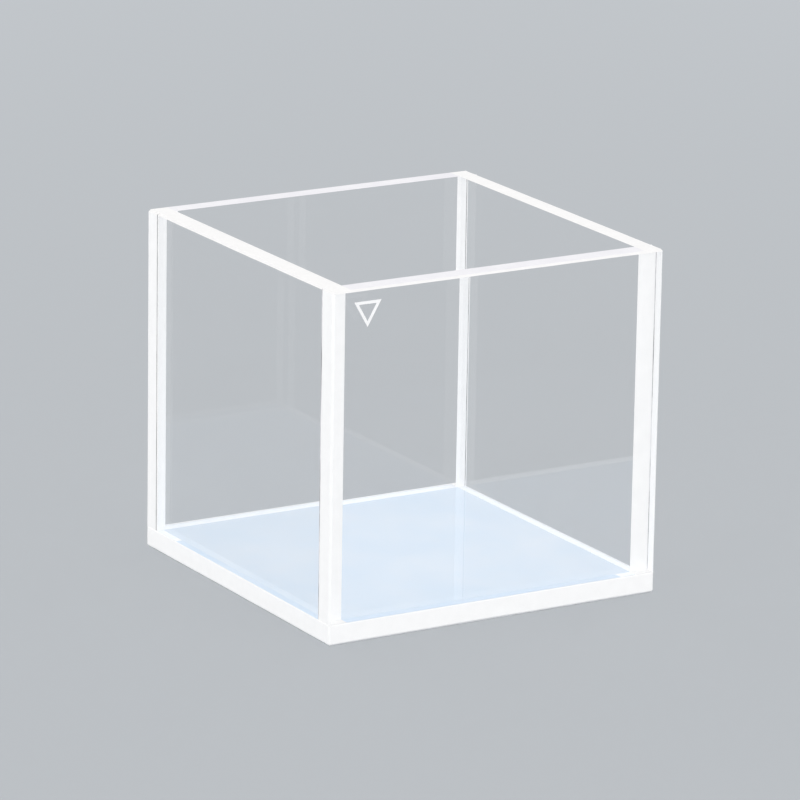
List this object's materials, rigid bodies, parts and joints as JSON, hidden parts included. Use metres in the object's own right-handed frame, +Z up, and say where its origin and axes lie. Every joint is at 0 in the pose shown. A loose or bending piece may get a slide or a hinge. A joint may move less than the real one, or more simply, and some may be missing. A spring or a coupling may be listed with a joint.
{
  "type": "large square quartz cuvette",
  "caption": "Open-topped square optical cell: four clear polished walls and a frosted base plate, joined at white ground edges.",
  "frame": {"origin": "centre of the base plate's underside, on the surface the cell stands on", "axes": "+Z up through the open top, -Y out of the front wall with the etched triangle, +X to the right seen from the front"},
  "size_m": [0.045, 0.045, 0.0425],
  "materials": {
    "clear_quartz": "clear fused quartz, optically polished on both faces, with white fine-ground ends and rim",
    "frosted_quartz": "fused quartz, polished on top, satin frosted underneath so that it looks milky, with white fine-ground edges"
  },
  "bodies": {
    "root": {"front_wall": "clear_quartz", "back_wall": "clear_quartz", "left_wall": "clear_quartz", "right_wall": "clear_quartz", "base_plate": "frosted_quartz"}
  },
  "joints": []
}
